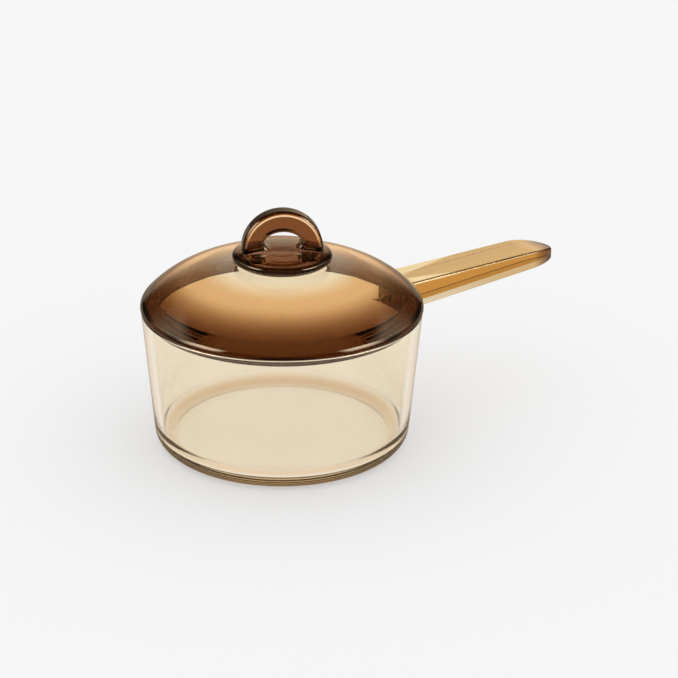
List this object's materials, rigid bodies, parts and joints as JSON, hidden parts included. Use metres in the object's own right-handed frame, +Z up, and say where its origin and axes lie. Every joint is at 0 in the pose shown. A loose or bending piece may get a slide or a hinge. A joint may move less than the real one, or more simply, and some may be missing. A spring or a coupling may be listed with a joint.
{
  "type": "saucepan with glass lid",
  "caption": "Small amber glass saucepan with a solid glass bar handle and a lift-off domed smoky glass lid with an arched finger knob.",
  "frame": {"origin": "centre of the pan's flat base, on the surface that it stands on", "axes": "+Z up along the pan's axis, +X along the handle towards its tip"},
  "size_m": [0.275, 0.1584, 0.1371],
  "materials": {
    "pan_glass": "polished clear amber glass",
    "lid_glass": "polished smoky brown glass"
  },
  "bodies": {
    "pan": {"pan_bowl": "pan_glass", "pan_handle": "pan_glass"},
    "lid": {"lid_dome": "lid_glass", "lid_knob": "lid_glass"}
  },
  "joints": [
    {"name": "lid_lift", "type": "slide", "parent": "pan", "child": "lid", "axis": [0, 0, 1], "range_m": [0, 0.1]}
  ]
}
